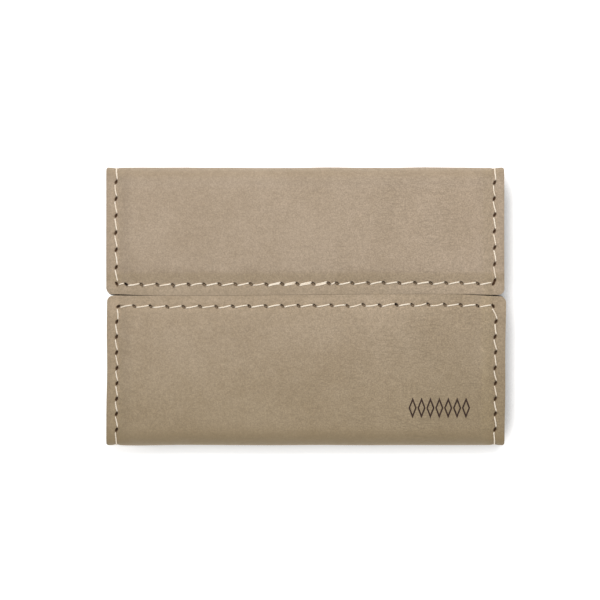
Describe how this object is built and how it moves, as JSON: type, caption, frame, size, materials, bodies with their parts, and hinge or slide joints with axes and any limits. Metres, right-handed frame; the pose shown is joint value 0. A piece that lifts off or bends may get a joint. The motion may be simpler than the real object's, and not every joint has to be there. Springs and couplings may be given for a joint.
{
  "type": "card holder",
  "caption": "Flat card holder: a padded leather body with a stiff card sleeve inside it, and a padded leather lid that slides on over the sleeve, hand-stitched round the edges.",
  "frame": {"origin": "centre of the back face's outline, on the surface that the closed holder lies on", "axes": "+X across the width, +Y from the body towards the lid, +Z from the back face to the front face"},
  "size_m": [0.1, 0.0706, 0.008],
  "materials": {
    "leather": "matte, smooth-grained taupe leather",
    "edge": "matte cut and burnished leather edge",
    "sleeve": "matte thin leather over stiff board",
    "lining": "matte woven lining",
    "pad": "matte felt padding",
    "board": "matte grey-brown board",
    "thread": "waxed cream thread"
  },
  "bodies": {
    "body": {"body_leather": "leather", "body_pad_front": "pad", "body_pad_back": "pad", "body_board_front": "board", "body_board_back": "board", "body_spacer_left": "edge", "body_spacer_right": "edge", "body_side_thread_left": "thread", "body_side_thread_right": "thread", "body_mouth_thread_front": "thread", "body_mouth_thread_back": "thread", "sleeve_front": "sleeve", "sleeve_back": "sleeve", "sleeve_side_left": "sleeve", "sleeve_side_right": "sleeve", "sleeve_floor": "sleeve"},
    "lid": {"lid_leather": "leather", "lid_pad_front": "pad", "lid_pad_back": "pad", "lid_lining": "lining", "lid_spacer_left": "edge", "lid_spacer_right": "edge", "lid_side_thread_left": "thread", "lid_side_thread_right": "thread", "lid_mouth_thread_front": "thread", "lid_mouth_thread_back": "thread"}
  },
  "joints": [
    {"name": "lid_slide", "type": "slide", "parent": "body", "child": "lid", "axis": [0, 1, 0], "range_m": [0, 0.025]}
  ]
}
